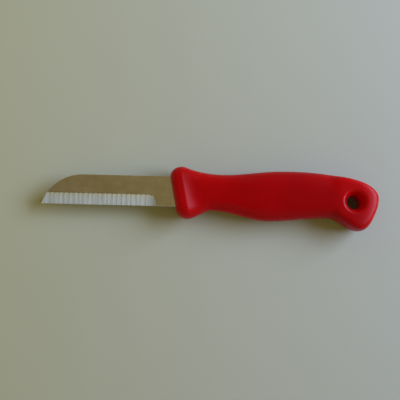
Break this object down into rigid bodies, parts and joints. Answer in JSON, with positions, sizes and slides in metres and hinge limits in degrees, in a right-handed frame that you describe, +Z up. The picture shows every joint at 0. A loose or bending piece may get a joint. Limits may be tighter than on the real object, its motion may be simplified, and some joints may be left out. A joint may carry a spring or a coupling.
{
  "type": "kitchen knife",
  "caption": "Small straight-edged kitchen knife with a fluted one-sided grind and a moulded plastic handle with collar, finger notch, hooked butt and hanging hole.",
  "frame": {"origin": "centre of the underside of the bounding box, on the surface that the knife lies on", "axes": "+X from the blade's tip to the butt, +Y from the edge to the spine, +Z up out of the side with the grind"},
  "size_m": [0.1884, 0.034, 0.017],
  "materials": {
    "steel": "satin, with a fluted ground bevel",
    "plastic": "glossy red"
  },
  "bodies": {
    "root": {"blade": "steel", "handle": "plastic"}
  },
  "joints": []
}
